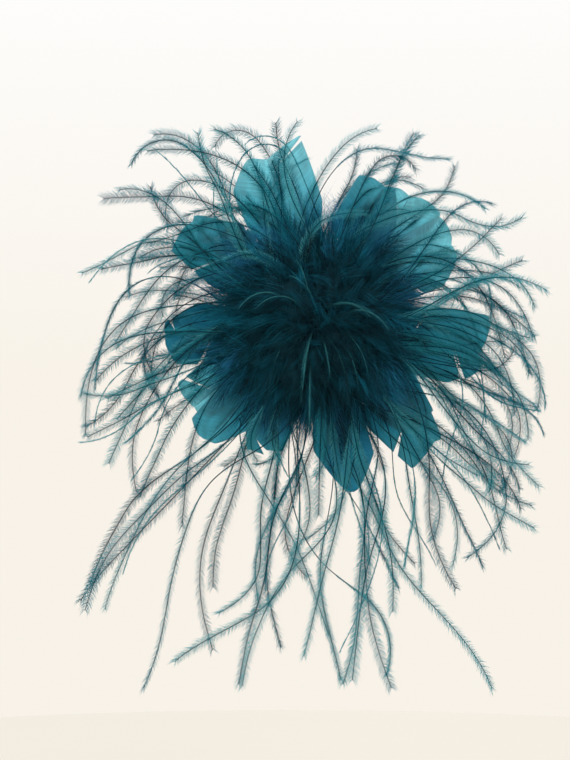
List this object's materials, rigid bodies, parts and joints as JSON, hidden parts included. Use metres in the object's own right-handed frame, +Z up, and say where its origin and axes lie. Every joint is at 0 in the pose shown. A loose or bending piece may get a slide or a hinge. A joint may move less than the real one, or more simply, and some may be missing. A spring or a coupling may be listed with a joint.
{
  "type": "feather flower brooch",
  "caption": "Large round feather flower to pin on a garment: drooping ostrich sprays and goose petals round a marabou centre, felt back, bar pin.",
  "frame": {"origin": "centre of the backing felt's back face, which lies on the garment", "axes": "+Z up as worn, flower facing -Y, pin standing out to +Y, +X to the wearer's left, which is the viewer's right"},
  "size_m": [0.3134, 0.0951, 0.3701],
  "materials": {
    "felt": "pressed wool felt, dyed dark teal",
    "buckram": "stiffened open-weave cotton",
    "quill": "bundle of dyed feather quills",
    "thread": "waxed polyester thread",
    "goose_feather": "dyed goose vane, thin and translucent, soft sheen",
    "ostrich_feather": "dyed ostrich flue, open and hair-fine",
    "marabou": "dyed down, dense and matt",
    "plated_steel": "nickel-plated stamped steel"
  },
  "bodies": {
    "flower": {"backing_felt": "felt", "bar_stitch_1": "thread", "bar_stitch_2": "thread", "bar_stitch_3": "thread", "bar_stitch_4": "thread", "binding_thread": "thread", "bound_stems": "quill", "front_felt": "felt", "goose_petal_back_1": "goose_feather", "goose_petal_back_2": "goose_feather", "goose_petal_back_3": "goose_feather", "goose_petal_back_4": "goose_feather", "goose_petal_back_5": "goose_feather", "goose_petal_back_6": "goose_feather", "goose_petal_back_7": "goose_feather", "goose_petal_front_1": "goose_feather", "goose_petal_front_2": "goose_feather", "goose_petal_front_3": "goose_feather", "goose_petal_front_4": "goose_feather", "goose_petal_front_5": "goose_feather", "goose_petal_front_6": "goose_feather", "goose_petal_front_7": "goose_feather", "hinge_rivet": "plated_steel", "marabou_tuft_1": "marabou", "marabou_tuft_2": "marabou", "marabou_tuft_3": "marabou", "marabou_tuft_4": "marabou", "marabou_tuft_5": "marabou", "marabou_tuft_6": "marabou", "marabou_tuft_7": "marabou", "marabou_tuft_8": "marabou", "ostrich_spray_01": "ostrich_feather", "ostrich_spray_02": "ostrich_feather", "ostrich_spray_03": "ostrich_feather", "ostrich_spray_04": "ostrich_feather", "ostrich_spray_05": "ostrich_feather", "ostrich_spray_06": "ostrich_feather", "ostrich_spray_07": "ostrich_feather", "ostrich_spray_08": "ostrich_feather", "ostrich_spray_09": "ostrich_feather", "ostrich_spray_10": "ostrich_feather", "ostrich_spray_11": "ostrich_feather", "ostrich_spray_12": "ostrich_feather", "ostrich_spray_13": "ostrich_feather", "ostrich_spray_14": "ostrich_feather", "ostrich_spray_15": "ostrich_feather", "ostrich_spray_16": "ostrich_feather", "pin_bar": "plated_steel", "stiffener_disc": "buckram"},
    "pin_stem": {"pin_stem": "plated_steel"},
    "catch_sleeve": {"catch_sleeve": "plated_steel"}
  },
  "joints": [
    {"name": "pin_swing", "type": "hinge", "parent": "flower", "child": "pin_stem", "pos_m": [-0.018, 0.0062, 0.01], "axis": [0, 0, 1], "range_deg": [0, 90]},
    {"name": "catch_turn", "type": "hinge", "parent": "flower", "child": "catch_sleeve", "pos_m": [0.0165, 0.0062, 0.01], "axis": [1, 0, 0], "range_deg": [0, 100]}
  ]
}
